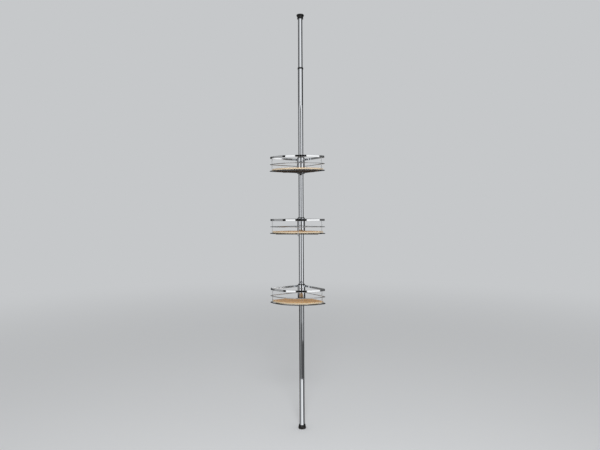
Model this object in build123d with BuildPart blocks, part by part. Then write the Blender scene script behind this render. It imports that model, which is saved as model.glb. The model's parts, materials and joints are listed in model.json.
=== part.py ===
"""Floor-to-ceiling shower caddy for a corner: a sprung telescopic pole with three quarter-round baskets.

Frame: millimetres, +Z up along the pole, origin at the centre of the foot's sole on the floor. The baskets'
fronts point along -Y, and their side rails run at 45 degrees either side of it, as the corner's two walls do.
"""

import os
from math import cos, radians, sin, sqrt

from build123d import *

os.makedirs("parts", exist_ok=True)

# ---- Clearances ----
PLUG_FIT = 0.05  # radial, a plug or coupler pushed into a tube
RUN_FIT = 0.07  # radial, pieces that slide or turn on each other
WELD_GAP = 0.02  # between two wires that a weld holds together
REST_GAP = 0.2  # between a board and the wires it lies on
WIRE_END_ROUND = 0.25  # rounding of a cut wire end, as a share of the wire's diameter

# ---- Pole ----
POLE_HEIGHT = 2400.0  # floor to ceiling
TUBE_D = 30.0
TUBE_WALL = 0.8
TUBE_COUNT = 3
TUBE_EDGE = 0.35  # broken edge at the tube ends, the hairline seen at each joint
MOUTH_Z = 2084.0  # open top of the uppermost Ø30 tube
COUPLER_LENGTH = 120.0
COUPLER_WALL = 1.5
PLUG_EDGE = 0.75  # chamfer that leads a plug or coupler into a tube
FOOT_D = 44.0
FOOT_TOP_D = 38.0
FOOT_HEIGHT = 20.0
SOLE_THICK = 5.0
FOOT_ROUND = 1.5

# ---- Telescopic top ----
EXTENSION_D = 26.5
EXTENSION_WALL = 0.8
EXTENSION_HIDDEN = 344.0  # length of the extension that is inside the pole
BUSH_D = 33.4
BUSH_HEIGHT = 9.0
BUSH_DEPTH = 30.0
BUSH_CHAMFER = 1.2
PISTON_HEIGHT = 12.0
PISTON_SPIGOT = 20.0
SPRING_LENGTH = 150.0  # as held between floor and ceiling
SPRING_WIRE = 2.2
SPRING_D = 25.0  # outside
SPRING_TURNS = 11
STOP_HEIGHT = 20.0
STOP_SPIGOT = 12.0
SPIGOT_SLACK = 1.5  # radial, a spigot inside the spring
CAP_D = 44.0
CAP_BODY_D = 35.0
CAP_HEIGHT = 24.0  # with its pad
CAP_FLANGE = 5.0
CAP_SOCKET = 16.0
CAP_ROUND = 1.2
PAD_D = 41.0
PAD_HEIGHT = 2.0

# ---- Baskets: height of each rim's middle, and the shape they share ----
RIM_Z = {"upper": 1559.0, "middle": 1210.0, "lower": 823.0}
SIDE_LENGTH = 196.0  # along each wall, from the pole's axis to the front corner
FRONT_REACH = 203.75  # from the pole's axis to the inside of the rim's front
CORNER_R = 11.0  # bend at the front corners, inside
RIM_HEIGHT = 11.0
RIM_THICK = 2.5
RIM_EDGE = 0.8
GUARD_DROP = 38.0  # guard wire's axis below the rim's middle
GUARD_D = 4.0
FRAME_DROP = 75.0  # floor frame's axis below the rim's middle
FRAME_D = 5.0
FLOOR_WIRE_D = 4.0
FLOOR_WIRE_COUNT = 3
FLOOR_WIRE_SETBACK = 60.0  # hindmost floor wire, in front of the pole's axis
FLOOR_WIRE_PITCH = 50.0
POST_D = 4.0
POST_SETBACK = 15.6  # nearer the middle than the front corner, measured across the basket
TAIL = 6.0  # rails and wires run this far past the point where they meet the sleeve

# ---- Sleeve and its split wedge ----
SLEEVE_D = 46.0
SLEEVE_ABOVE = 10.0  # over the rim's middle
SLEEVE_BELOW = 3.5  # under the floor frame's axis
SLEEVE_ROUND = 0.8
WEDGE_BASE_WALL = 5.7  # wall at the foot of the taper
WEDGE_TOP_WALL = 4.2
WEDGE_ABOVE = 4.0  # wedge shows this much over the sleeve
WEDGE_SPLIT = 0.6
LIP_HEIGHT = 2.5
LIP_GAP = 0.5
WEDGE_ROUND = 0.6

# ---- Bamboo boards ----
BOARD_THICK = 10.0
BOARD_INSET = 5.5  # inside the inner face of the rim
BOARD_BACK = 40.0  # straight back edge, in front of the pole's axis
BOARD_CORNER_R = 9.0
BOARD_EDGE_R = 2.0
CLEAT_WIDTH = 16.0
CLEAT_HEIGHT = 8.0
CLEAT_END = 12.0  # cleat stops this far inside the board's edge
CLEAT_CHAMFER = 1.0

# ---- Hook on the middle basket's guard wire ----
HOOK_WIRE = 3.0
HOOK_ANGLE = 6.0  # to the +X side of the front, about the front arc's centre
HOOK_LOOP_INSIDE = 3.4  # inside radius of the upper loop
HOOK_TAIL = 4.0
HOOK_SHANK = 40.0
HOOK_BEND = 8.0
HOOK_TIP = 6.0
HOOK_GAP = 0.05

# ---- Derived sizes ----
TUBE_R = TUBE_D / 2
BORE_R = TUBE_R - TUBE_WALL
TUBE_LENGTH = (MOUTH_Z - SOLE_THICK) / TUBE_COUNT
EXTENSION_R = EXTENSION_D / 2
EXTENSION_BOTTOM = MOUTH_Z - EXTENSION_HIDDEN
PISTON_BOTTOM = EXTENSION_BOTTOM - PISTON_HEIGHT
STOP_TOP = PISTON_BOTTOM - SPRING_LENGTH
SPIGOT_R = SPRING_D / 2 - SPRING_WIRE - SPIGOT_SLACK
CAP_BOTTOM = POLE_HEIGHT - CAP_HEIGHT
CAP_TOP = POLE_HEIGHT - PAD_HEIGHT
SLEEVE_R = SLEEVE_D / 2
WEDGE_BORE_R = TUBE_R + RUN_FIT
WEDGE_BASE_R = WEDGE_BORE_R + WEDGE_BASE_WALL
WEDGE_TOP_R = WEDGE_BORE_R + WEDGE_TOP_WALL

# The basket's outline is drawn along the inner face of its rim. Each side rail passes the sleeve at
# RAIL_OFFSET from the pole's axis, on the wall's side. The front is one arc through the front point and the
# two corners.
DIAGONAL = sqrt(0.5)
RAIL_OFFSET = SLEEVE_R + WELD_GAP
CORNER_X = DIAGONAL * (SIDE_LENGTH + RAIL_OFFSET)
CORNER_Y = -DIAGONAL * (SIDE_LENGTH - RAIL_OFFSET)
BULGE = FRONT_REACH + CORNER_Y
FRONT_R = (CORNER_X**2 + BULGE**2) / (2 * BULGE)
ARC_Y = FRONT_R - FRONT_REACH  # the front arc's centre is on the Y axis


def save(piece, name):
    """Label one finished piece and write its STEP file."""
    piece.part.label = name
    export_step(piece.part, f"parts/{name}.step")


def rail_point(along, outset):
    """Point on the right-hand rail line, `along` from the pole and `outset` outside the outline."""
    offset = RAIL_OFFSET + outset
    return (DIAGONAL * (along + offset), -DIAGONAL * (along - offset))


def corner_along(outset):
    """How far along its rail the corner is, where rail line and front arc meet, both moved by `outset`."""
    offset = RAIL_OFFSET + outset
    radius = FRONT_R + outset
    half = -DIAGONAL * ARC_Y
    return half + sqrt(half**2 - offset**2 + 2 * DIAGONAL * ARC_Y * offset - ARC_Y**2 + radius**2)


def half_width(front, outset):
    """Half the outline's width on the line that is `front` ahead of the pole's axis."""
    along = corner_along(outset)
    if front < -rail_point(along, outset)[1]:
        return front + 2 * DIAGONAL * (RAIL_OFFSET + outset)
    return sqrt((FRONT_R + outset) ** 2 - (front + ARC_Y) ** 2)


def mirrored(point):
    """The same point on the left-hand side."""
    return (-point[0], point[1])


def rail_path(z, outset):
    """U-shaped line of a rail or wire: down one side, round the front, and up the other side."""
    corner = rail_point(corner_along(outset), outset)
    tail = rail_point(-TAIL, outset)
    front = (0, -(FRONT_REACH + outset))
    with BuildLine(Plane.XY.offset(z)) as path:
        Line(mirrored(tail), mirrored(corner))
        ThreePointArc(mirrored(corner), front, corner)
        Line(corner, tail)
        corners = path.vertices().sort_by(Axis.X)
        fillet([corners[0], corners[-1]], radius=CORNER_R + outset)
    return path.wires()[0]


# ---- Pole ----
def foot_cap():
    """Rubber foot: a flared cup that the bottom tube stands in."""
    with BuildPart() as foot:
        with BuildSketch(Plane.XZ) as profile:
            with BuildLine():
                Polyline((0, 0), (FOOT_D / 2, 0), (FOOT_D / 2, SOLE_THICK), (FOOT_TOP_D / 2, FOOT_HEIGHT),
                         (0, FOOT_HEIGHT), close=True)
            make_face()
            outer = profile.vertices().filter_by(lambda v: v.X > TUBE_R and v.Z > 0)
            fillet(outer, radius=FOOT_ROUND)
        revolve(axis=Axis.Z)
        with BuildSketch(Plane.XY.offset(SOLE_THICK)):
            Circle(TUBE_R + PLUG_FIT)
        extrude(amount=FOOT_HEIGHT, mode=Mode.SUBTRACT)
    save(foot, "foot_cap")


def tube(name, bottom, top, radius, wall):
    """Plain round tube with its outer end edges broken."""
    with BuildPart() as pipe:
        with BuildSketch(Plane.XY.offset(bottom)):
            Circle(radius)
            Circle(radius - wall, mode=Mode.SUBTRACT)
        extrude(amount=top - bottom)
        outer = pipe.edges().filter_by(GeomType.CIRCLE).filter_by(lambda e: e.radius > radius - wall / 2)
        chamfer(outer, length=min(TUBE_EDGE, wall / 2))
    save(pipe, name)


def coupler(name, middle):
    """Steel liner that joins two pole tubes, half of it in each."""
    with BuildPart() as liner:
        with BuildSketch(Plane.XY.offset(middle - COUPLER_LENGTH / 2)):
            Circle(BORE_R - PLUG_FIT)
            Circle(BORE_R - PLUG_FIT - COUPLER_WALL, mode=Mode.SUBTRACT)
        extrude(amount=COUPLER_LENGTH)
        ends = liner.edges().filter_by(GeomType.CIRCLE).sort_by(SortBy.RADIUS)[-2:]
        chamfer(ends, length=min(PLUG_EDGE, COUPLER_WALL / 2))
    save(liner, name)


def tube_bush():
    """Black guide bush in the mouth of the pole: the collar seen at the joint and the thin skirt below it."""
    with BuildPart() as bush:
        with BuildSketch(Plane.XY.offset(MOUTH_Z - BUSH_DEPTH)):
            Circle(BORE_R - PLUG_FIT)
        extrude(amount=BUSH_DEPTH)
        with BuildSketch(Plane.XY.offset(MOUTH_Z)):
            Circle(BUSH_D / 2)
        extrude(amount=BUSH_HEIGHT)
        chamfer(bush.edges().sort_by(Axis.Z)[-1], length=BUSH_CHAMFER)
        with BuildSketch(Plane.XY.offset(MOUTH_Z - BUSH_DEPTH)):
            Circle(EXTENSION_R + RUN_FIT)
        extrude(amount=BUSH_DEPTH + BUSH_HEIGHT, mode=Mode.SUBTRACT)
    save(bush, "tube_bush")


def spring_stop():
    """Plug pressed into the top pole tube, which the spring stands on."""
    with BuildPart() as stop:
        with BuildSketch(Plane.XY.offset(STOP_TOP - STOP_HEIGHT)):
            Circle(BORE_R - PLUG_FIT)
        extrude(amount=STOP_HEIGHT)
        with BuildSketch(Plane.XY.offset(STOP_TOP)):
            Circle(SPIGOT_R)
        extrude(amount=STOP_SPIGOT)
        chamfer(stop.edges().sort_by(Axis.Z)[-1], length=PLUG_EDGE)
    save(stop, "spring_stop")


def spring_piston():
    """Plug in the extension's lower end: it presses on the spring and runs in the pole's bore."""
    with BuildPart() as piston:
        with BuildSketch(Plane.XY.offset(PISTON_BOTTOM)):
            Circle(BORE_R - RUN_FIT)
        extrude(amount=PISTON_HEIGHT)
        with BuildSketch(Plane.XY.offset(EXTENSION_BOTTOM)):
            Circle(EXTENSION_R - EXTENSION_WALL - PLUG_FIT)
        extrude(amount=PISTON_SPIGOT)
        chamfer(piston.edges().sort_by(Axis.Z)[0], length=PLUG_EDGE)
        chamfer(piston.edges().sort_by(Axis.Z)[-1], length=PLUG_EDGE)
    save(piston, "spring_piston")


def tension_spring():
    """Compression spring between the stop and the piston."""
    height = SPRING_LENGTH - SPRING_WIRE
    radius = (SPRING_D - SPRING_WIRE) / 2
    start = (0, 0, STOP_TOP + SPRING_WIRE / 2)
    with BuildPart() as spring:
        with BuildLine() as coil:
            Helix(pitch=height / SPRING_TURNS, height=height, radius=radius, center=start)
        with BuildSketch(Plane(origin=coil.line @ 0, z_dir=coil.line % 0)):
            Circle(SPRING_WIRE / 2)
        sweep(path=coil.line, is_frenet=True)
    save(spring, "tension_spring")


def ceiling_cap():
    """Flanged cap on top of the extension."""
    with BuildPart() as cap:
        with BuildSketch(Plane.XY.offset(CAP_BOTTOM)):
            Circle(CAP_BODY_D / 2)
        extrude(amount=CAP_TOP - CAP_BOTTOM)
        with BuildSketch(Plane.XY.offset(CAP_TOP - CAP_FLANGE)):
            Circle(CAP_D / 2)
        extrude(amount=CAP_FLANGE)
        rims = cap.edges().filter_by(GeomType.CIRCLE).filter_by(lambda e: e.radius > (CAP_D + CAP_BODY_D) / 4)
        fillet(rims, radius=CAP_ROUND)
        with BuildSketch(Plane.XY.offset(CAP_BOTTOM)):
            Circle(EXTENSION_R + PLUG_FIT)
        extrude(amount=CAP_SOCKET, mode=Mode.SUBTRACT)
    save(cap, "ceiling_cap")


def ceiling_pad():
    """Soft disc that grips the ceiling."""
    with BuildPart() as pad:
        with BuildSketch(Plane.XY.offset(CAP_TOP)):
            Circle(PAD_D / 2)
        extrude(amount=PAD_HEIGHT)
    save(pad, "ceiling_pad")


# ---- Basket pieces ----
def sleeve(name, rim_z):
    """Chromed sleeve round the pole, with a bore that narrows upwards onto the wedge."""
    bottom = rim_z - FRAME_DROP - SLEEVE_BELOW
    top = rim_z + SLEEVE_ABOVE
    with BuildPart() as shell:
        with BuildSketch(Plane.XZ):
            with BuildLine():
                Polyline((WEDGE_BASE_R + RUN_FIT, bottom), (SLEEVE_R, bottom), (SLEEVE_R, top),
                         (WEDGE_TOP_R + RUN_FIT, top), close=True)
            make_face()
        revolve(axis=Axis.Z)
        outer = shell.edges().filter_by(GeomType.CIRCLE).filter_by(lambda e: e.radius > SLEEVE_R - WELD_GAP)
        fillet(outer, radius=SLEEVE_ROUND)
    save(shell, f"{name}_sleeve")


def wedge_half(name, rim_z, side):
    """Half of the tapered plastic wedge between pole and sleeve; side is -1 on the left, 1 on the right."""
    bottom = rim_z - FRAME_DROP - SLEEVE_BELOW
    top = rim_z + SLEEVE_ABOVE
    slope = (WEDGE_BASE_R - WEDGE_TOP_R) / (top - bottom)
    tip = top + WEDGE_ABOVE
    tip_r = WEDGE_TOP_R - slope * WEDGE_ABOVE
    lip_top = bottom - LIP_GAP
    lip_bottom = lip_top - LIP_HEIGHT
    with BuildPart() as half:
        with BuildSketch(Plane.XZ) as profile:
            with BuildLine():
                Polyline((WEDGE_BORE_R, lip_bottom), (SLEEVE_R, lip_bottom), (SLEEVE_R, lip_top),
                         (WEDGE_BASE_R, lip_top), (WEDGE_BASE_R, bottom), (tip_r, tip), (WEDGE_BORE_R, tip),
                         close=True)
            make_face()
            lip_corners = profile.vertices().filter_by(lambda v: v.X > SLEEVE_R - WEDGE_ROUND)
            tip_corner = profile.vertices().group_by(Axis.Z)[-1].sort_by(Axis.X)[-1]
            fillet(lip_corners + [tip_corner], radius=WEDGE_ROUND)
        revolve(axis=Axis.Z)
        cut = Plane.YZ.offset(side * WEDGE_SPLIT / 2)
        split(bisect_by=cut, keep=Keep.TOP if side > 0 else Keep.BOTTOM)
    save(half, f"{name}_wedge_{'right' if side > 0 else 'left'}")


def rim_band(name, rim_z):
    """Flat chromed strip on edge: both side rails and the front of the rim, bent from one length."""
    path = rail_path(rim_z, RIM_THICK / 2)
    with BuildPart() as band:
        with BuildSketch(Plane(origin=path @ 0, x_dir=(0, 0, 1), z_dir=path % 0)):
            RectangleRounded(RIM_HEIGHT, RIM_THICK, radius=min(RIM_EDGE, RIM_THICK / 2.5))
        sweep(path=path)
    save(band, f"{name}_rim_band")


def guard_wire(name, rim_z):
    """Wire half-way down the basket, bent like the rim."""
    path = rail_path(rim_z - GUARD_DROP, GUARD_D / 2)
    with BuildPart() as wire:
        with BuildSketch(Plane(origin=path @ 0, z_dir=path % 0)):
            Circle(GUARD_D / 2)
        sweep(path=path)
    save(wire, f"{name}_guard_wire")


def floor_frame(name, rim_z):
    """Bottom wire bent like the rim, with straight wires welded across it for the board to lie on."""
    z = rim_z - FRAME_DROP
    path = rail_path(z, FRAME_D / 2)
    with BuildPart() as frame:
        with BuildSketch(Plane(origin=path @ 0, z_dir=path % 0)):
            Circle(FRAME_D / 2)
        sweep(path=path)
        for index in range(FLOOR_WIRE_COUNT):
            front = FLOOR_WIRE_SETBACK + index * FLOOR_WIRE_PITCH
            half = half_width(front, FRAME_D / 2)
            with BuildSketch(Plane.YZ.offset(-half)):
                with Locations((-front, z)):
                    Circle(FLOOR_WIRE_D / 2)
            extrude(amount=2 * half)
    save(frame, f"{name}_floor_frame")


def posts(name, rim_z):
    """Two upright wires near the front corners, behind the rim, the guard wire and the floor frame."""
    bottom = rim_z - FRAME_DROP - FRAME_D / 2
    top = rim_z + RIM_HEIGHT / 2 - RIM_EDGE
    x = CORNER_X - POST_SETBACK
    spot = (x, ARC_Y - sqrt((FRONT_R - POST_D / 2 - WELD_GAP) ** 2 - x**2))
    with BuildPart() as uprights:
        with BuildSketch(Plane.XY.offset(bottom)):
            with Locations(spot, mirrored(spot)):
                Circle(POST_D / 2)
        extrude(amount=top - bottom)
        fillet(uprights.edges().filter_by(GeomType.CIRCLE), radius=POST_D * WIRE_END_ROUND)
    save(uprights, f"{name}_posts")


def board(name, rim_z):
    """Bamboo board: the basket's outline moved in, with the corner at the pole cut off straight."""
    outset = -BOARD_INSET
    corner = rail_point(corner_along(outset), outset)
    back = (half_width(BOARD_BACK, outset), -BOARD_BACK)
    bottom = rim_z - FRAME_DROP + FLOOR_WIRE_D / 2 + REST_GAP
    with BuildPart() as plank:
        with BuildSketch(Plane.XY.offset(bottom)) as shape:
            with BuildLine():
                Line(mirrored(back), back)
                Line(back, corner)
                ThreePointArc(corner, (0, -(FRONT_REACH + outset)), mirrored(corner))
                Line(mirrored(corner), mirrored(back))
            make_face()
            fillet(shape.vertices(), radius=BOARD_CORNER_R)
        extrude(amount=BOARD_THICK)
        faces = plank.faces().filter_by(Axis.Z)
        fillet(faces.edges(), radius=BOARD_EDGE_R)
    save(plank, f"{name}_board")


def board_cleats(name, rim_z):
    """Bamboo cleats glued under the board: they drop between the floor wires and keep it in its place."""
    under = rim_z - FRAME_DROP + FLOOR_WIRE_D / 2 + REST_GAP
    with BuildPart() as cleats:
        for index in range(FLOOR_WIRE_COUNT - 1):
            middle = FLOOR_WIRE_SETBACK + (index + 0.5) * FLOOR_WIRE_PITCH
            sides = (middle - CLEAT_WIDTH / 2, middle + CLEAT_WIDTH / 2)
            edge = min(half_width(side, -BOARD_INSET) for side in sides)
            with BuildSketch(Plane.XY.offset(under)):
                with Locations((0, -middle)):
                    Rectangle(2 * (edge - CLEAT_END), CLEAT_WIDTH)
            extrude(amount=-CLEAT_HEIGHT)
        chamfer(cleats.faces().sort_by(Axis.Z)[: FLOOR_WIRE_COUNT - 1].edges(), length=CLEAT_CHAMFER)
    save(cleats, f"{name}_board_cleats")


def hook(rim_z):
    """Loose wire hook: a loop over the guard wire, a shank and an open bend for a loop of cord."""
    loop_r = HOOK_LOOP_INSIDE + HOOK_WIRE / 2
    loop_z = -(HOOK_LOOP_INSIDE - GUARD_D / 2 - HOOK_GAP)
    axis_r = FRONT_R + GUARD_D / 2
    turn = radians(HOOK_ANGLE)
    outward = Vector(sin(turn), -cos(turn), 0)
    on_wire = Vector(0, ARC_Y, rim_z - GUARD_DROP) + outward * axis_r
    side_view = Plane(origin=on_wire, x_dir=outward, z_dir=outward.cross(Vector(0, 0, 1)))
    bend_bottom = (loop_r + HOOK_BEND, -HOOK_SHANK - HOOK_BEND)
    bend_end = loop_r + 2 * HOOK_BEND
    with BuildPart() as s_hook:
        with BuildLine(side_view) as bent:
            Line((-loop_r, loop_z - HOOK_TAIL), (-loop_r, loop_z))
            ThreePointArc((-loop_r, loop_z), (0, loop_z + loop_r), (loop_r, loop_z))
            Line((loop_r, loop_z), (loop_r, -HOOK_SHANK))
            ThreePointArc((loop_r, -HOOK_SHANK), bend_bottom, (bend_end, -HOOK_SHANK))
            Line((bend_end, -HOOK_SHANK), (bend_end, -HOOK_SHANK + HOOK_TIP))
        path = bent.wires()[0]
        with BuildSketch(Plane(origin=path @ 0, z_dir=path % 0)):
            Circle(HOOK_WIRE / 2)
        sweep(path=path)
        cut_ends = s_hook.edges().filter_by(GeomType.CIRCLE).filter_by(lambda e: e.is_closed)
        fillet(cut_ends, radius=HOOK_WIRE * WIRE_END_ROUND)
    save(s_hook, "middle_hook")


def main():
    foot_cap()
    for index, name in enumerate(("bottom", "middle", "top")):
        start = SOLE_THICK + index * TUBE_LENGTH
        tube(f"pole_tube_{name}", start, start + TUBE_LENGTH, TUBE_R, TUBE_WALL)
    for index, name in enumerate(("lower", "upper"), start=1):
        coupler(f"tube_coupler_{name}", SOLE_THICK + index * TUBE_LENGTH)
    tube_bush()
    tube("extension_tube", EXTENSION_BOTTOM, CAP_BOTTOM + CAP_SOCKET, EXTENSION_R, EXTENSION_WALL)
    spring_stop()
    spring_piston()
    tension_spring()
    ceiling_cap()
    ceiling_pad()
    for name, rim_z in RIM_Z.items():
        sleeve(name, rim_z)
        wedge_half(name, rim_z, -1)
        wedge_half(name, rim_z, 1)
        rim_band(name, rim_z)
        guard_wire(name, rim_z)
        floor_frame(name, rim_z)
        posts(name, rim_z)
        board(name, rim_z)
        board_cleats(name, rim_z)
    hook(RIM_Z["middle"])


main()
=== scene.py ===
# %% [markdown]
# # A floor-to-ceiling shower caddy
# The caddy is a sprung pole that carries three quarter-round wire baskets with bamboo boards. Its
# pieces come as a fixed frame of CAD solids in metres. This script dresses them: it adds what a
# welder's torch and a wood grain add, gives every piece its finish, and builds a small studio round
# it.

# %% Load the frame
import json
from math import cos, pi, radians, sin, sqrt

import bpy
import numpy as np
from mathutils import Euler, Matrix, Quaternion, Vector


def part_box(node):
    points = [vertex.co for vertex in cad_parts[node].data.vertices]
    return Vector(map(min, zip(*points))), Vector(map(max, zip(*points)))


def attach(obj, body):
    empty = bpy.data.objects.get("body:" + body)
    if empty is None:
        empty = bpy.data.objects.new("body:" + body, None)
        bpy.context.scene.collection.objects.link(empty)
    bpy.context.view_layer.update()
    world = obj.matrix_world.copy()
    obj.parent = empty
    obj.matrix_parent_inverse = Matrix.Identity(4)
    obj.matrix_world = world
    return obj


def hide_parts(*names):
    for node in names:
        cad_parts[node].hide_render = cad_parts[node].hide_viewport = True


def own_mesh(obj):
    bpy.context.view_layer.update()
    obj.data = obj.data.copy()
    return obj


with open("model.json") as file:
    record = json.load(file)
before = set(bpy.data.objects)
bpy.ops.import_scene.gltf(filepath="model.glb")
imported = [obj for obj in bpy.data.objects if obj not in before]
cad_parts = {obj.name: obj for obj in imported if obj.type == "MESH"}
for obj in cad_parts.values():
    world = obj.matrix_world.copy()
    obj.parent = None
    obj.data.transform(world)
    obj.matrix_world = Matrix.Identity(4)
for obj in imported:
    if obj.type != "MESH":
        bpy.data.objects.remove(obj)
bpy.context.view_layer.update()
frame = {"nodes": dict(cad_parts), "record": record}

MM = 0.001

# %% [markdown]
# ## The camera
# The pole is tall and thin, so it is seen from three metres away with a short lens, from just over
# half its height. The camera is level, so that the pole stays upright, and its lens is shifted down
# to bring the pole to the middle. The baskets' fronts point to -Y, and the camera stands a little
# to their right.

# %% Camera
CAMERA_AZIMUTH = radians(10)
CAMERA_DISTANCE = 3.012
CAMERA_HEIGHT = 1.245
MIDDLE_HEIGHT = 1.179  # of the pole, at the middle of the view
CAMERA_LENS = 31.09  # mm
SENSOR = 36.0  # mm
CAMERA_ROLL = radians(-0.28)  # held a touch clockwise
CAMERA_YAW = radians(0.125)  # the pole stands just right of the middle


def around(azimuth, distance, height):
    """A point seen from the pole's foot. Azimuth turns from the front, -Y, towards the right, +X,
    so the point is at (distance * sin, -distance * cos, height) of it."""
    return (distance * sin(azimuth), -distance * cos(azimuth), height)


camera = bpy.data.objects.new("camera", bpy.data.cameras.new("camera"))
bpy.context.collection.objects.link(camera)
camera.data.lens = CAMERA_LENS
camera.data.sensor_width = SENSOR
camera.data.shift_y = (MIDDLE_HEIGHT - CAMERA_HEIGHT) / CAMERA_DISTANCE * CAMERA_LENS / SENSOR
camera.location = around(CAMERA_AZIMUTH, CAMERA_DISTANCE, CAMERA_HEIGHT)
camera.rotation_mode = "QUATERNION"
level = Euler((pi / 2, 0, CAMERA_AZIMUTH + CAMERA_YAW)).to_quaternion()
camera.rotation_quaternion = level @ Quaternion((0, 0, 1), CAMERA_ROLL)
bpy.context.scene.camera = camera
bpy.context.scene.view_settings.view_transform = "Standard"
print("camera at", [round(c, 3) for c in camera.location])

# %% [markdown]
# ## Small tools
# Colours are written as the hex values that a paint chart gives, and one function turns them to the
# linear light that shaders work in. Another function adds a node and joins it up, so a material
# reads as a list of its nodes. Inputs that have no name of their own are given by number: a Map
# Range takes its value as input 0, the range it comes from as 1 and 2, and the range it goes to as
# 3 and 4, and a colour Mix takes its two colours as 6 and 7 and gives the result as output 2.

# %% Colour and nodes


def linear(hex_colour):
    """sRGB to linear light, channel by channel: c/12.92 when dark, otherwise ((c + 0.055)/1.055) to
    the power 2.4."""
    srgb = np.array([int(hex_colour[i : i + 2], 16) for i in (1, 3, 5)]) / 255
    return (*np.where(srgb <= 0.04045, srgb / 12.92, ((srgb + 0.055) / 1.055) ** 2.4), 1.0)


def add(tree, kind, inputs=None, **settings):
    """Add a node of a kind. Inputs are given by name or number, as a value or as the socket that
    feeds them."""
    node = tree.nodes.new("ShaderNode" + kind)
    for name, value in settings.items():
        setattr(node, name, value)
    for key, value in (inputs or {}).items():
        if isinstance(value, bpy.types.NodeSocket):
            tree.links.new(value, node.inputs[key])
        else:
            node.inputs[key].default_value = value
    return node


def new_material(name):
    """An empty node material and its tree."""
    made = bpy.data.materials.new(name)
    made.use_nodes = True
    made.node_tree.nodes.clear()
    return made, made.node_tree


print("mid grey #808080 is", round(linear("#808080")[0], 3), "in linear light")

# %% [markdown]
# ## The studio
# Chrome has no colour of its own to speak of: it shows the room. A plain white room would leave it
# flat, so rings of cards stand round the caddy and lie on the floor, light and dark by turns, as
# flags and soft boxes do in a product studio. The cards are seen only in reflections. They cast no
# shadow and light nothing, so the light on wood and plastic stays plain.

# %% Meshes from arrays


def surface(name, points, faces, material=None):
    """A mesh object from an array of points and the faces between them."""
    mesh = bpy.data.meshes.new(name)
    mesh.from_pydata(np.asarray(points, float).tolist(), [], [list(face) for face in faces])
    mesh.validate()
    made = bpy.data.objects.new(name, mesh)
    bpy.context.collection.objects.link(made)
    if material:
        mesh.materials.append(material)
    return made


def grid_faces(rows, columns, close_rows=False, close_columns=False):
    """Quads of a grid numbered row by row. A closed direction joins its last line to its first."""
    i = np.arange(rows if close_rows else rows - 1)
    j = np.arange(columns if close_columns else columns - 1)
    i, j = (a.ravel() for a in np.meshgrid(i, j, indexing="ij"))
    up, right = (i + 1) % rows, (j + 1) % columns
    corners = i * columns + j, i * columns + right, up * columns + right, up * columns + j
    return np.stack(corners, axis=1)


print("a 2 by 3 grid has", len(grid_faces(2, 3)), "faces")

# %% Cards that only mirrors see
CARD_RADIUS = 5.0
WALL_TOP = 2.9
UPPER_TOP = 4.6
CEILING_EYE = 0.01  # the ceiling's cards nearly meet over the pole
FLOOR_LIFT = 0.001  # the floor's cards lie just clear of the floor
FLOOR_RINGS = 0.03, 0.91, 2.1, 2.9, CARD_RADIUS  # the radii between the floor's four rings
ARC_POINTS = 9  # along each card
DARK, DIM, MID, BRIGHT = 0.012, 0.04, 0.42, 1.25
SIDE_LIGHT = 0.9  # stands behind and beside the caddy, for whoever walks round it
BEHIND = 0.35

# Each card goes from and to an angle in degrees, counted from the front towards the right, and its
# third number is how bright it looks in a mirror. The first ring stands on the floor, and the
# rims, wires and most of the pole show it.
WALL_CARDS = (
    (-165, -143, SIDE_LIGHT), (-143, -104, DIM), (-104, -92, 0.2), (-92, -52.6, MID),
    (-52.6, -41.5, DARK), (-41.5, -7.6, BRIGHT), (-7.6, 29.8, DARK), (29.8, 77, BRIGHT),
    (77, 104, 0.14), (104, 152, DIM), (152, 172, SIDE_LIGHT), (172, 195, BEHIND))
# The second ring stands on the first, and the pole's upper end shows it.
UPPER_CARDS = (
    (-165, -143, SIDE_LIGHT), (-143, -66, DIM), (-66, -8, 0.6), (-8, 58, BRIGHT), (58, 76, 0.2),
    (76, 152, DIM), (152, 172, SIDE_LIGHT), (172, 195, BEHIND))
# The next four lie on the floor, from the pole outwards. The pole's lower end and the undersides of
# the wires show them.
FLOOR_CARDS = (
    (
        (-160, -128, MID), (-128, -80, DIM), (-80, -25, 0.4), (-25, 62, BRIGHT), (62, 140, DIM),
        (140, 168, MID), (168, 200, DIM)),
    (
        (-160, -128, MID), (-128, -52, DIM), (-52, -10, 0.46), (-10, 34, 0.03), (34, 84, 0.19),
        (84, 140, DIM), (140, 168, MID), (168, 200, DIM)),
    (
        (-160, -128, MID), (-128, -52, DIM), (-52, -10, 0.5), (-10, 34, DARK), (34, 84, 0.66),
        (84, 140, DIM), (140, 168, MID), (168, 200, DIM)),
    (
        (-160, -128, MID), (-128, -52, DIM), (-52, -10, 0.6), (-10, 34, 0.2), (34, 84, 0.8),
        (84, 140, DIM), (140, 168, MID), (168, 200, DIM)))
# The last hangs over everything.
CEILING_CARDS = (-180, -60, DIM), (-60, 60, 0.1), (60, 180, DIM)


def glow(name, brightness):
    """A surface that looks equally bright from everywhere."""
    made, tree = new_material(name)
    light = add(tree, "Emission", {"Color": (brightness, brightness, brightness, 1)})
    add(tree, "OutputMaterial", {"Surface": light.outputs[0]})
    return made


def stand_cards(ring, cards, inner, low, outer, high):
    """A ring of cards. At the angle a, a card is the strip from (inner sin a, -inner cos a, low) to
    (outer sin a, -outer cos a, high)."""
    for start, end, brightness in cards:
        angles = np.radians(np.linspace(start, end, ARC_POINTS))
        arc = np.stack([np.sin(angles), -np.cos(angles)], axis=1)
        first = np.column_stack([inner * arc, np.full(len(arc), low)])
        second = np.column_stack([outer * arc, np.full(len(arc), high)])
        name = f"card_{ring}_{start:.0f}"
        card = surface(
            name, np.vstack([first, second]), grid_faces(2, len(arc)), glow(name, brightness))
        card.visible_camera = card.visible_diffuse = False
        card.visible_transmission = card.visible_shadow = False


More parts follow.
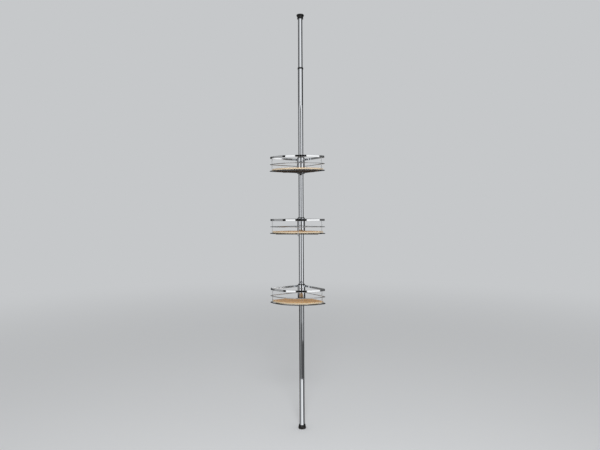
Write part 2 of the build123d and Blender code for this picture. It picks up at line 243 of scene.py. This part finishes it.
stand_cards("wall", WALL_CARDS, CARD_RADIUS, 0, CARD_RADIUS, WALL_TOP)
stand_cards("upper", UPPER_CARDS, CARD_RADIUS, WALL_TOP, CARD_RADIUS, UPPER_TOP)
for index, cards in enumerate(FLOOR_CARDS):
    inner, outer = FLOOR_RINGS[index : index + 2]
    stand_cards(f"floor_{index}", cards, inner, FLOOR_LIFT, outer, FLOOR_LIFT)
stand_cards("ceiling", CEILING_CARDS, CEILING_EYE, UPPER_TOP, CARD_RADIUS, UPPER_TOP)

# %% [markdown]
# ## Floor and backdrop
# The floor is matt paint, and it keeps the caddy's shadow. Far out it melts into the backdrop, so
# that no horizon crosses the pole. The backdrop is only the world's colour, shown to the camera, to
# mirrors and through glass, while the light that the world throws on the caddy is a plain white of
# its own strength. The floor throws less light back than its paint would, to keep undersides dark.

# %% Floor and backdrop
FLOOR_COLOUR = "#E4E6E8"
FLOOR_BOUNCE = "#6E6F70"  # what the floor throws back, so that undersides stay in the shade
BACKDROP = "#C6C8CA"
AMBIENCE = 0.55
MELT_START, MELT_END = 1.5, 7.0  # metres from the pole
FLOOR_REACH = 60  # metres

floor_material, tree = new_material("matt painted studio floor")
place = add(tree, "TexCoord").outputs["Object"]
reach = add(tree, "VectorMath", {0: place}, operation="LENGTH")
fade = add(tree, "MapRange", {
    0: reach.outputs["Value"], 1: MELT_START, 2: MELT_END, 3: 0.0, 4: 1.0},
    interpolation_type="SMOOTHSTEP")
paint = add(tree, "BsdfDiffuse", {"Color": linear(FLOOR_COLOUR)})
haze = add(tree, "Emission", {"Color": linear(BACKDROP)})
shown = add(tree, "MixShader", {0: fade.outputs[0], 1: paint.outputs[0], 2: haze.outputs[0]})
thrown = add(tree, "BsdfDiffuse", {"Color": linear(FLOOR_BOUNCE)})
floor_path = add(tree, "LightPath")
floor_shader = add(tree, "MixShader", {
    0: floor_path.outputs["Is Diffuse Ray"], 1: shown.outputs[0], 2: thrown.outputs[0]})
add(tree, "OutputMaterial", {"Surface": floor_shader.outputs[0]})
floor_corners = [
    (x * FLOOR_REACH, y * FLOOR_REACH, 0) for x, y in ((-1, -1), (1, -1), (1, 1), (-1, 1))]
floor = surface("floor", floor_corners, [(0, 1, 2, 3)], floor_material)

world = bpy.data.worlds.new("studio")
bpy.context.scene.world = world
world.use_nodes = True
tree = world.node_tree
tree.nodes.clear()
path = add(tree, "LightPath")
seen = add(tree, "Math", {
    0: path.outputs["Is Camera Ray"], 1: path.outputs["Is Glossy Ray"]}, operation="MAXIMUM")
seen = add(tree, "Math", {
    0: seen.outputs[0], 1: path.outputs["Is Transmission Ray"]}, operation="MAXIMUM")
ambience = add(tree, "Background", {"Color": (1, 1, 1, 1), "Strength": AMBIENCE})
backdrop = add(tree, "Background", {"Color": linear(BACKDROP), "Strength": 1.0})
either = add(tree, "MixShader", {
    0: seen.outputs[0], 1: ambience.outputs[0], 2: backdrop.outputs[0]})
add(tree, "OutputWorld", {"Surface": either.outputs[0]})
print("the floor melts into the backdrop from", MELT_START, "to", MELT_END, "m")

# %% [markdown]
# ## The lamp
# One round soft lamp hangs high above the camera, a little to its right. Mirrors don't show it,
# because a lamp's reflection would put a white spot on every tube, and the cards are what shines
# here.

# %% Lamp
KEY_AZIMUTH = radians(12)
KEY_DISTANCE = 2.976
KEY_HEIGHT = 2.495
KEY_AIM = Vector((0, -0.08, 1.15))  # among the baskets
KEY_WIDTH = 1.1
KEY_POWER = 52  # watts

key = bpy.data.objects.new("key", bpy.data.lights.new("key", "AREA"))
bpy.context.collection.objects.link(key)
key.data.shape = "DISK"
key.data.size = KEY_WIDTH
key.data.energy = KEY_POWER
key.visible_glossy = False
key.location = around(KEY_AZIMUTH, KEY_DISTANCE, KEY_HEIGHT)
key.rotation_mode = "QUATERNION"
key.rotation_quaternion = (KEY_AIM - key.location).to_track_quat("-Z", "Y")
print("key light", [round(c, 2) for c in key.location])

# %% [markdown]
# ## Bright chromed steel
# The pole is steel tube, polished and plated with nickel and then chrome. The plating is a mirror
# with a faint blue cast, and what gives it away as a real tube is how slightly the mirror wavers:
# drawing the tube leaves long shallow ripples, and a shower leaves dried drops that are a touch
# duller. The ripples are a noise stretched upwards. Wire gets the same plate with finer ripples,
# and the wires under the boards, where water stands, are duller and painted darker as shade.

# %% Chrome
RIPPLE_STRETCH = 50  # a ripple is this many times taller than it is wide
RIPPLE_HEIGHT = 0.02 * MM
SPOT_SIZE = 9 * MM
SPOT_START, SPOT_FULL = 0.52, 0.72  # the noise's values where a dull spot starts and is full


def chrome(name, colour, ripple_mm, dull, clean=0.045):
    """Chrome plate: ripples of a given width, and spots where water dried. Its roughness goes from
    clean to dull."""
    made, tree = new_material(name)
    place = add(tree, "TexCoord").outputs["Object"]
    along = add(tree, "Mapping", {"Vector": place, "Scale": (1, 1, 1 / RIPPLE_STRETCH)})
    ripples = add(tree, "TexNoise", {
        "Vector": along.outputs[0], "Scale": 1 / (ripple_mm * MM), "Detail": 2.0})
    bump = add(tree, "Bump", {
        "Height": ripples.outputs["Fac"], "Strength": 0.35, "Distance": RIPPLE_HEIGHT})
    spots = add(tree, "TexNoise", {
        "Vector": place, "Scale": 1 / SPOT_SIZE, "Detail": 5.0, "Roughness": 0.65})
    roughness = add(tree, "MapRange", {
        0: spots.outputs["Fac"], 1: SPOT_START, 2: SPOT_FULL, 3: clean, 4: dull})
    shader = add(tree, "BsdfPrincipled", {
        "Base Color": linear(colour), "Metallic": 1.0, "Roughness": roughness.outputs[0],
        "Normal": bump.outputs[0]})
    add(tree, "OutputMaterial", {"Surface": shader.outputs[0]})
    return made


tube_chrome = chrome("chrome plate on drawn steel tube", "#C8CBCF", ripple_mm=7, dull=0.13)
wire_chrome = chrome("chrome plate on bent steel wire", "#DADCDE", ripple_mm=5, dull=0.16)
# The bottom wires' darker plate is painted shade under the boards; only their roughness is the
# dullness of standing water.
low_chrome_painted_shade = chrome(
    "chrome plate under the boards, darker as painted shade", "#7A7D80", ripple_mm=5, dull=0.42, clean=0.24)
print("chrome:", tube_chrome.name, "and", wire_chrome.name)

# %% [markdown]
# ## Moulded black plastic and rubber
# The collar, cap and wedges are ABS, moulded in a tool with a fine spark-eroded texture, so they
# gleam softly and never sharply. The foot and the pad on the cap are rubber: darker, duller, and
# greyed where dust and lime settle. The real grain is finer than half a millimetre, and it is drawn
# coarser so that it shows.

# %% Plastic and rubber
DUST = "#8E8C88"
DUST_PATCH = 18 * MM
PIMPLE_HEIGHT = 0.05 * MM


def moulded(name, colour, roughness, ior, grain_mm, dust):
    """A moulded polymer: a fine pimpled skin, and dust that lightens it in soft patches."""
    made, tree = new_material(name)
    place = add(tree, "TexCoord").outputs["Object"]
    grain = add(tree, "TexNoise", {"Vector": place, "Scale": 1 / (grain_mm * MM), "Detail": 3.0})
    patches = add(tree, "TexNoise", {"Vector": place, "Scale": 1 / DUST_PATCH, "Detail": 4.0})
    amount = add(tree, "MapRange", {0: patches.outputs["Fac"], 1: 0.45, 2: 0.75, 3: 0.0, 4: dust})
    colours = add(tree, "Mix", {
        "Factor": amount.outputs[0], 6: linear(colour), 7: linear(DUST)}, data_type="RGBA")
    bump = add(tree, "Bump", {
        "Height": grain.outputs["Fac"], "Strength": 0.5, "Distance": PIMPLE_HEIGHT})
    shader = add(tree, "BsdfPrincipled", {
        "Base Color": colours.outputs[2], "Roughness": roughness, "IOR": ior,
        "Normal": bump.outputs[0]})
    add(tree, "OutputMaterial", {"Surface": shader.outputs[0]})
    return made


abs_plastic = moulded(
    "moulded black ABS", "#0E0F10", roughness=0.36, ior=1.53, grain_mm=0.8, dust=0.015)
rubber = moulded(
    "moulded black rubber", "#0C0C0C", roughness=0.7, ior=1.52, grain_mm=1.2, dust=0.04)
print("moulded:", abs_plastic.name, "and", rubber.name)

# %% [markdown]
# ## Bamboo board
# The boards are cut from a panel of bamboo strips, glued side by side and lacquered. The strips run
# from side to side. Each strip came from another cane, so each has its own tone, its own straight
# fibres and, every hand's breadth or two, the pale and dark band of a node where a leaf grew. All
# of it is worked out from the place on the board, so the grain runs through from the top to the
# edge. The upright edges are painted pale, a painted highlight where the light falls on them, and
# faces that look down are painted dark, a painted shade.

# %% Bamboo
STRIP = 19 * MM
BOARD_STEP = 0.2  # metres of height, less than lies between two boards
FIBRE = 1.1 * MM  # the real fibres are near 0.3 mm, drawn coarser so that they show
FIBRE_LENGTH = 55 * MM
FIBRE_RELIEF = 0.08 * MM
CLOUDS_PER_METRE = 9, 70, 70  # soft changes of tone, long along the strip
NODE_SPACING = 210 * MM
NODE_WIDTH = 3.5 * MM
NODE_WOBBLE = 0.01  # of the spacing
GLUE_LINE = 0.018  # of a strip's width, on each side of the joint
FIBRE_SHARE, WARM_SHARE, NODE_SHARE, GLUE_SHARE = 0.48, 0.4, 0.6, 0.45  # where each is strongest
UPRIGHT, FLAT = 0.15, 0.75  # how far up the skin's normal points on an upright and on a flat face
CANE_LIGHT, CANE_DARK, CANE_WARM = "#F0BC78", "#D09858", "#F2CA90"
FIBRE_DARK, NODE_DARK = "#8E5C2E", "#6B4526"
# A painted highlight for the boards' upright faces, where the light falls on their edges.
PAINTED_EDGE_HIGHLIGHT = "#F0E2C6"
# Painted shade for faces that look down and for the cleats under the boards.
PAINTED_SHADE_WOOD = "#403A34"


def bamboo(name, painted_upright_colour, painted_upright_share, painted_shade_share, coat):
    """Bamboo strips along X. Upright faces turn to the painted upright colour, a painted highlight
    on the board and painted shade on the cleats, and faces that look down turn to painted shade.
    The strip's number is the whole part of y / width, and it picks the strip's tone and how far its
    pattern is moved along. A node is where x / spacing comes near a whole number."""
    made, tree = new_material(name)
    place = add(tree, "TexCoord")
    facing = add(tree, "SeparateXYZ", {0: place.outputs["Normal"]}).outputs["Z"]
    place = place.outputs["Object"]
    axes = add(tree, "SeparateXYZ", {0: place})
    strip = add(tree, "Math", {0: axes.outputs["Y"], 1: STRIP}, operation="DIVIDE")
    strip_number = add(tree, "Math", {0: strip.outputs[0]}, operation="FLOOR")
    board_number = add(tree, "Math", {0: axes.outputs["Z"], 1: BOARD_STEP}, operation="DIVIDE")
    board_number = add(tree, "Math", {0: board_number.outputs[0]}, operation="FLOOR")
    cane = add(tree, "CombineXYZ", {0: strip_number.outputs[0], 1: board_number.outputs[0]})
    cane_random = add(
        tree, "TexWhiteNoise", {"Vector": cane.outputs[0]}, noise_dimensions="2D").outputs["Value"]
    shift = add(tree, "CombineXYZ", {0: cane_random, 1: cane_random})
    moved = add(tree, "VectorMath", {0: place, 1: shift.outputs[0]}, operation="ADD").outputs[0]
    stretch = add(tree, "Mapping", {
        "Vector": moved, "Scale": (1 / FIBRE_LENGTH, 1 / FIBRE, 1 / FIBRE)})
    fibres = add(tree, "TexNoise", {
        "Vector": stretch.outputs[0], "Scale": 1.0, "Detail": 3.0, "Roughness": 0.6})
    clouds = add(tree, "Mapping", {"Vector": moved, "Scale": CLOUDS_PER_METRE})
    clouds = add(tree, "TexNoise", {"Vector": clouds.outputs[0], "Scale": 1.0, "Detail": 2.0})

    node_x = add(tree, "SeparateXYZ", {0: moved})
    node_x = add(tree, "Math", {0: node_x.outputs[0], 1: NODE_SPACING}, operation="DIVIDE")
    wobble = add(tree, "MapRange", {
        0: clouds.outputs["Fac"], 1: 0.0, 2: 1.0, 3: -NODE_WOBBLE, 4: NODE_WOBBLE})
    node_x = add(tree, "Math", {0: node_x.outputs[0], 1: wobble.outputs[0]}, operation="ADD")
    near_node = add(tree, "Math", {0: node_x.outputs[0], 1: 1.0}, operation="PINGPONG")
    node_band = add(tree, "MapRange", {
        0: near_node.outputs[0], 1: 0.0, 2: NODE_WIDTH / NODE_SPACING, 3: NODE_SHARE, 4: 0.0},
        interpolation_type="SMOOTHSTEP")

    depth = add(tree, "MapRange", {
        0: fibres.outputs["Fac"], 1: 0.35, 2: 0.75, 3: 0.0, 4: FIBRE_SHARE})
    warm = add(tree, "MapRange", {0: clouds.outputs["Fac"], 1: 0.4, 2: 0.8, 3: 0.0, 4: WARM_SHARE})
    strip_edge = add(tree, "Math", {0: strip.outputs[0], 1: 0.5}, operation="PINGPONG")
    glue = add(tree, "MapRange", {
        0: strip_edge.outputs[0], 1: 0.0, 2: GLUE_LINE, 3: GLUE_SHARE, 4: 0.0})
    # Painted light on upright faces: a painted highlight on the board's edges, painted shade on the
    # cleats.
    edge = add(tree, "MapRange", {0: facing, 1: UPRIGHT, 2: FLAT, 3: painted_upright_share, 4: 0.0})
    # Painted shade on faces that look down.
    under = add(tree, "MapRange", {0: facing, 1: -FLAT, 2: -UPRIGHT, 3: painted_shade_share, 4: 0.0})
    tone = add(tree, "Mix", {
        "Factor": cane_random, 6: linear(CANE_LIGHT), 7: linear(CANE_DARK)}, data_type="RGBA")
    for share, colour in (
            (depth, FIBRE_DARK), (warm, CANE_WARM), (node_band, NODE_DARK), (glue, NODE_DARK),
            (edge, painted_upright_colour), (under, PAINTED_SHADE_WOOD)):
        tone = add(tree, "Mix", {
            "Factor": share.outputs[0], 6: tone.outputs[2], 7: linear(colour)}, data_type="RGBA")
    bump = add(tree, "Bump", {
        "Height": fibres.outputs["Fac"], "Strength": 0.25, "Distance": FIBRE_RELIEF})
    shader = add(tree, "BsdfPrincipled", {
        "Base Color": tone.outputs[2], "Roughness": 0.5, "IOR": 1.48, "Coat Weight": coat,
        "Coat Roughness": 0.25, "Normal": bump.outputs[0]})
    add(tree, "OutputMaterial", {"Surface": shader.outputs[0]})
    return made


board_bamboo = bamboo(
    "laminated bamboo, satin lacquer", PAINTED_EDGE_HIGHLIGHT, painted_upright_share=0.8, painted_shade_share=0.92, coat=0.12)
# The cleats get painted shade on their upright faces as well as below them.
cleat_bamboo_painted_shade = bamboo(
    "laminated bamboo, oiled, with painted shade", PAINTED_SHADE_WOOD, painted_upright_share=0.7, painted_shade_share=0.92, coat=0.0)
print("a strip is", round(STRIP / FIBRE), "fibres wide")

# %% [markdown]
# ## Steel that is out of sight
# Inside the pole are two liners and a spring. The liners are zinc plated, which dries to a soft
# grey bloom, and the spring is oil-tempered wire, darker and browner.

# %% Zinc and spring steel
BLOOM = 6 * MM


def grey_steel(name, light, dark, roughness):
    """Bare or zinc-plated steel: two greys in cloudy patches."""
    made, tree = new_material(name)
    place = add(tree, "TexCoord").outputs["Object"]
    clouds = add(tree, "TexNoise", {"Vector": place, "Scale": 1 / BLOOM, "Detail": 5.0})
    colours = add(tree, "Mix", {
        "Factor": clouds.outputs["Fac"], 6: linear(light), 7: linear(dark)}, data_type="RGBA")
    shader = add(tree, "BsdfPrincipled", {
        "Base Color": colours.outputs[2], "Metallic": 1.0, "Roughness": roughness})
    add(tree, "OutputMaterial", {"Surface": shader.outputs[0]})
    return made


zinc = grey_steel("zinc plated steel", "#C5C8CC", "#9EA2A6", 0.4)
spring_steel = grey_steel("oil-tempered spring steel", "#7E7A74", "#59544E", 0.45)
print("out of sight:", zinc.name, "and", spring_steel.name)

# %% [markdown]
# ## Weld beads
# Each basket is bent from one strip and a few wires, and small welds hold it together: on the
# posts, at the ends of the floor wires and where the rails pass the sleeve. The CAD solids only
# touch there. Metaballs or sculpting could make the welds, but a bead is simple enough to write
# down. It is a bar that swells and narrows as the melt froze in steps, rounded at both ends, and
# where a wire ends on another it is the same bar bent round into a collar.

# %% Where the rails, the front and the posts run
SIDE_LENGTH = 196 * MM  # along each wall, from the pole's axis to the front corner
RIM_THICK = 2.5 * MM
FLOOR_WIRES = 60 * MM, 110 * MM, 160 * MM  # in front of the pole's axis
DIAGONAL = sqrt(0.5)

sleeve_low, sleeve_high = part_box("upper_sleeve")
SLEEVE_R = (sleeve_high[0] - sleeve_low[0]) / 2
FRONT_REACH = -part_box("upper_rim_band")[0][1] - RIM_THICK
CORNER_X = DIAGONAL * (SIDE_LENGTH + SLEEVE_R)
BULGE = FRONT_REACH - DIAGONAL * (SIDE_LENGTH - SLEEVE_R)
FRONT_R = (CORNER_X**2 + BULGE**2) / (2 * BULGE)
ARC_Y = FRONT_R - FRONT_REACH  # the front is an arc about this point of the Y axis
FORWARD = np.array([DIAGONAL, -DIAGONAL, 0])  # along the right-hand rail
OUTWARD = np.array([DIAGONAL, DIAGONAL, 0])  # from the rail to the wall
UP = np.array([0, 0, 1.0])

post_low, post_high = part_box("upper_posts")
POST_R = (post_high[1] - post_low[1]) / 2
POST = np.array([post_high[0] - POST_R, post_low[1] + POST_R, 0])
print("front arc of radius", round(FRONT_R / MM, 1), "mm")
print("posts at", np.round(POST[:2] / MM, 1), "mm")

# %% Straight beads and collars
BEAD_RINGS = 13
BEAD_SIDES = 10
BEAD_TIP = 0.06  # of half a turn, where a bead's first and last rings are
UPRIGHT_BEAD = 0.7  # a bead whose direction has more of Z than this is taken as upright
COLLAR_STEPS = 20
COLLAR_SIDES = 8
RIPPLE = 1.5 * MM  # from one frozen step of the melt to the next
RIPPLE_DEPTH = 0.07


def ripple(distance):
    """How much a bead swells at a distance along it: 1 + depth * cos(2 pi * distance / ripple)."""
    return 1 + RIPPLE_DEPTH * np.cos(2 * pi * distance / RIPPLE)


def straight_beads(starts, ends, radii):
    """Beads from starts to ends, all at once. At a share t of its length, with c = 2t - 1, a bead
    is a circle of radius r * sqrt(1 - c^4) * ripple, square to its length. Returns points, quads
    and end faces."""
    starts, ends, radii = (np.asarray(a, float) for a in (starts, ends, radii))
    course = ends - starts
    length = np.linalg.norm(course, axis=1)[:, None]
    ahead = course / length
    upright = np.abs(ahead[:, 2:]) > UPRIGHT_BEAD
    side = np.cross(ahead, np.where(upright, [1.0, 0, 0], [0, 0, 1.0]))
    side /= np.linalg.norm(side, axis=1)[:, None]
    other = np.cross(ahead, side)
    c = -np.cos(np.linspace(BEAD_TIP, 1 - BEAD_TIP, BEAD_RINGS) * pi)
    t = (c + 1) / 2
    radius = radii[:, None] * np.sqrt(1 - c**4) * ripple(length * t)
    turn = np.linspace(0, 2 * pi, BEAD_SIDES, endpoint=False)
    circle = side[:, None] * np.cos(turn)[:, None] + other[:, None] * np.sin(turn)[:, None]
    middle = starts[:, None] + course[:, None] * t[:, None]
    points = middle[:, :, None] + radius[:, :, None, None] * circle[:, None]
    first = (np.arange(len(starts)) * BEAD_RINGS * BEAD_SIDES)[:, None, None]
    quads = first + grid_faces(BEAD_RINGS, BEAD_SIDES, close_columns=True)
    ring = np.arange(BEAD_SIDES)
    caps = first + np.stack([ring[::-1], (BEAD_RINGS - 1) * BEAD_SIDES + ring])
    return points.reshape(-1, 3), quads.reshape(-1, 4), caps.reshape(-1, BEAD_SIDES)


def collars(centres, normals, wire_r, bead_r):
    """Collars round wires along X, each where its wire meets a skin with the given normal. Round
    the wire by the angle a, the collar's middle is at y = r cos a, z = r sin a, with x chosen to
    lie on the skin."""
    centres, normals = (np.asarray(a, float)[:, None] for a in (centres, normals))
    a = np.linspace(0, 2 * pi, COLLAR_STEPS, endpoint=False)
    round_wire = np.stack([0 * a, np.cos(a), np.sin(a)], axis=1)[None]
    x = -wire_r * np.cos(a) * normals[..., 1] / normals[..., 0]
    middle = centres + wire_r * round_wire + x[..., None] * [1.0, 0, 0]
    turn = np.linspace(0, 2 * pi, COLLAR_SIDES, endpoint=False)
    bead = bead_r * ripple(wire_r * a)[None, :, None, None]
    inward = np.sign(normals[..., :1])[:, :, None] * np.array([1.0, 0, 0])
    section = round_wire[:, :, None] * np.cos(turn)[:, None] + inward * np.sin(turn)[:, None]
    points = middle[:, :, None] + bead * section
    faces = grid_faces(COLLAR_STEPS, COLLAR_SIDES, close_rows=True, close_columns=True)
    turned = np.where(normals[..., :1] > 0, faces[:, ::-1], faces)
    first = (np.arange(len(centres)) * COLLAR_STEPS * COLLAR_SIDES)[:, None, None]
    return points.reshape(-1, 3), (first + turned).reshape(-1, 4)


print("a bead has", (BEAD_RINGS - 1) * BEAD_SIDES, "quads, a collar", COLLAR_STEPS * COLLAR_SIDES)

# %% [markdown]
# ## A basket's welds
# The beads of one basket become one piece, which rides with that basket. They are chromed with the
# wires, so they take the wires' finish. Heights are counted from the middle of the rim. A post has
# a bead on each side of the rim, the guard wire and the ring that is the bottom wire. At the
# sleeve, the rim has an upright bead before and behind, and each wire has one above and below.

# %% Sizes and places of the welds
POST_BEAD_R = 1.0 * MM
RIM_BEAD_R = 1.2 * MM
WIRE_BEAD_R = 0.95 * MM
COLLAR_BEAD_R = 0.85 * MM
FLOOR_WIRE_R = 2.0 * MM
POST_SINK = 0.4 * MM  # how far the middle of a post's bead lies inside the post's skin
# Half of a bead's length, and its distance from the middle of what is welded.
RIM_ON_POST = 4.2 * MM, 2.0 * MM
GUARD_ON_POST = 2.4 * MM, 1.7 * MM
RING_ON_POST = 2.4 * MM, 1.8 * MM
RIM_ON_SLEEVE = 4.4 * MM, 5.5 * MM
# Half of a bead's length, and for each wire the distance above and below it and out of the sleeve.
WIRE_ON_SLEEVE = 4.8 * MM
GUARD_AT_SLEEVE = 1.8 * MM, 0.45 * MM
RING_AT_SLEEVE = 2.2 * MM, 0.55 * MM


def mirrored(points):
    """The same points on the left."""
    return np.asarray(points) * [-1, 1, 1]


def bead_courses(guard, ring):
    """Starts, ends and radii of the straight beads on the right-hand side, for the guard's and the
    ring's height."""
    out = POST - [0, ARC_Y, 0]
    out /= np.linalg.norm(out)
    along = np.cross(out, UP)
    skin = POST + (POST_R - POST_SINK) * out
    courses = []
    for height, (reach, spread) in ((0, RIM_ON_POST), (guard, GUARD_ON_POST), (ring, RING_ON_POST)):
        for sign in (-1, 1):
            middle = skin + sign * spread * along + height * UP
            courses.append((middle - reach * UP, middle + reach * UP, POST_BEAD_R))
    for sign in (-1, 1):
        reach, spread = RIM_ON_SLEEVE
        middle = SLEEVE_R * OUTWARD + sign * spread * FORWARD
        courses.append((middle - reach * UP, middle + reach * UP, RIM_BEAD_R))
        reach = WIRE_ON_SLEEVE * FORWARD
        for height, (spread, gap) in ((guard, GUARD_AT_SLEEVE), (ring, RING_AT_SLEEVE)):
            middle = (SLEEVE_R + gap) * OUTWARD + (height + sign * spread) * UP
            courses.append((middle - reach, middle + reach, WIRE_BEAD_R))
    return courses


def collar_places(ring):
    """Where the floor wires meet the ring on the right-hand side, and the ring's outward direction
    there. A wire at y = -f ends on the rail at x = f + 2 * DIAGONAL * sleeve radius, or on the
    front arc at x = sqrt(R^2 - (f + arc's y)^2)."""
    places, normals = [], []
    for front in FLOOR_WIRES:
        on_rail = front < DIAGONAL * (SIDE_LENGTH - SLEEVE_R)
        if on_rail:
            x = front + 2 * DIAGONAL * SLEEVE_R
        else:
            x = sqrt(FRONT_R**2 - (front + ARC_Y) ** 2)
        places.append((x, -front, ring))
        normals.append(OUTWARD if on_rail else (x / FRONT_R, -(front + ARC_Y) / FRONT_R, 0))
    return places, normals


def middle_height(node):
    """Half-way between a node's lowest and highest point."""
    low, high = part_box(node)
    return (low[2] + high[2]) / 2


print("half a basket has", len(bead_courses(0, 0)), "beads and", len(FLOOR_WIRES), "collars")

# %% The beads of the three baskets
for name in ("upper", "middle", "lower"):
    rim = middle_height(f"{name}_rim_band")
    guard = middle_height(f"{name}_guard_wire") - rim
    ring = middle_height(f"{name}_floor_frame") - rim
    starts, ends, radii = (np.array(a) for a in zip(*bead_courses(guard, ring)))
    points, quads, caps = straight_beads(
        np.vstack([starts, mirrored(starts)]), np.vstack([ends, mirrored(ends)]),
        np.tile(radii, 2))
    places, normals = collar_places(ring)
    round_points, round_quads = collars(
        np.vstack([places, mirrored(places)]), np.vstack([normals, mirrored(normals)]),
        FLOOR_WIRE_R, COLLAR_BEAD_R)
    beads = surface(
        f"{name}_weld_beads", np.vstack([points, round_points]) + rim * UP,
        quads.tolist() + caps.tolist() + (round_quads + len(points)).tolist(), wire_chrome)
    beads.data.polygons.foreach_set("use_smooth", np.ones(len(beads.data.polygons), bool))
    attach(beads, f"{name}_basket")
    print(beads.name, len(beads.data.polygons), "faces")

# %% [markdown]
# ## The spring inside the pole
# A compression spring presses the extension against the ceiling, and it shortens as the extension
# is pushed down. A CAD solid can't do that. An array of one coil or a screw modifier could draw the
# spring, but worked out as a wire along a helix its end coils can close up, as a spring winder
# closes them, and the finished mesh rides with the pole.

# %% Compression spring
SPRING_WIRE = 2.2 * MM
SPRING_TURNS = 11
TURN_STEPS = 28
WIRE_SIDES = 10
END_CLOSING = 0.8  # 0 is an even pitch, 1 lets the end coils touch


def helix_wire(low, high, radius):
    """A wire wound about Z from low to high. At a share s of the winding its middle is at the angle
    2 pi n s and at the height h * (s - c * sin(2 pi s) / (2 pi)), so the pitch shrinks by the share
    c at both ends."""
    s = np.linspace(0, 1, SPRING_TURNS * TURN_STEPS + 1)
    angle = 2 * pi * SPRING_TURNS * s
    rise = high - low - SPRING_WIRE
    height = low + SPRING_WIRE / 2 + rise * (s - END_CLOSING * np.sin(2 * pi * s) / (2 * pi))
    slope = rise * (1 - END_CLOSING * np.cos(2 * pi * s)) / (2 * pi * SPRING_TURNS * radius)
    outward = np.stack([np.cos(angle), np.sin(angle), 0 * angle], axis=1)
    ahead = np.stack([-np.sin(angle), np.cos(angle), slope], axis=1)
    ahead /= np.linalg.norm(ahead, axis=1, keepdims=True)
    turn = np.linspace(0, 2 * pi, WIRE_SIDES, endpoint=False)[:, None]
    section = outward[:, None] * np.cos(turn) + np.cross(outward, ahead)[:, None] * np.sin(turn)
    return (radius * outward + height[:, None] * UP)[:, None] + SPRING_WIRE / 2 * section


spring_low, spring_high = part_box("tension_spring")
wire_points = helix_wire(spring_low[2], spring_high[2], spring_high[0] - SPRING_WIRE / 2)
steps = len(wire_points)
ring = np.arange(WIRE_SIDES)
spring = surface(
    "compression_spring", wire_points.reshape(-1, 3),
    grid_faces(steps, WIRE_SIDES, close_columns=True)[:, ::-1].tolist()
    + [ring.tolist(), ((steps - 1) * WIRE_SIDES + ring[::-1]).tolist()])
spring.data.polygons.foreach_set("use_smooth", np.ones(len(spring.data.polygons), bool))
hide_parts("tension_spring")
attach(spring, "pole")
spring.data.materials.append(spring_steel)
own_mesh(spring)

# %% [markdown]
# ## Dressing the CAD pieces
# Every CAD piece keeps its shape and gets the finish of its material slot in the record. Two kinds
# of piece differ from the rest of their slot: the cleats are oiled and not lacquered and are
# painted dark as shade, and the bottom wires are duller and their plate is painted darker as shade.

# %% Dress the CAD pieces
FINISH_OF_SLOT = {
    "pole_chrome": tube_chrome, "wire_chrome": wire_chrome, "black_plastic": abs_plastic,
    "black_rubber": rubber, "plain_steel": zinc, "spring_steel": spring_steel,
    "bamboo": board_bamboo}
FINISH_OF_ENDING = {"_board_cleats": cleat_bamboo_painted_shade, "_floor_frame": low_chrome_painted_shade}
for entry in frame["record"]["subparts"]:
    node = entry["node"]
    own = [finish for ending, finish in FINISH_OF_ENDING.items() if node.endswith(ending)]
    mesh = frame["nodes"][node].data
    mesh.materials.clear()
    mesh.materials.append(own[0] if own else FINISH_OF_SLOT[entry["material_slot"]])
print(len(bpy.data.materials), "materials, cards included")
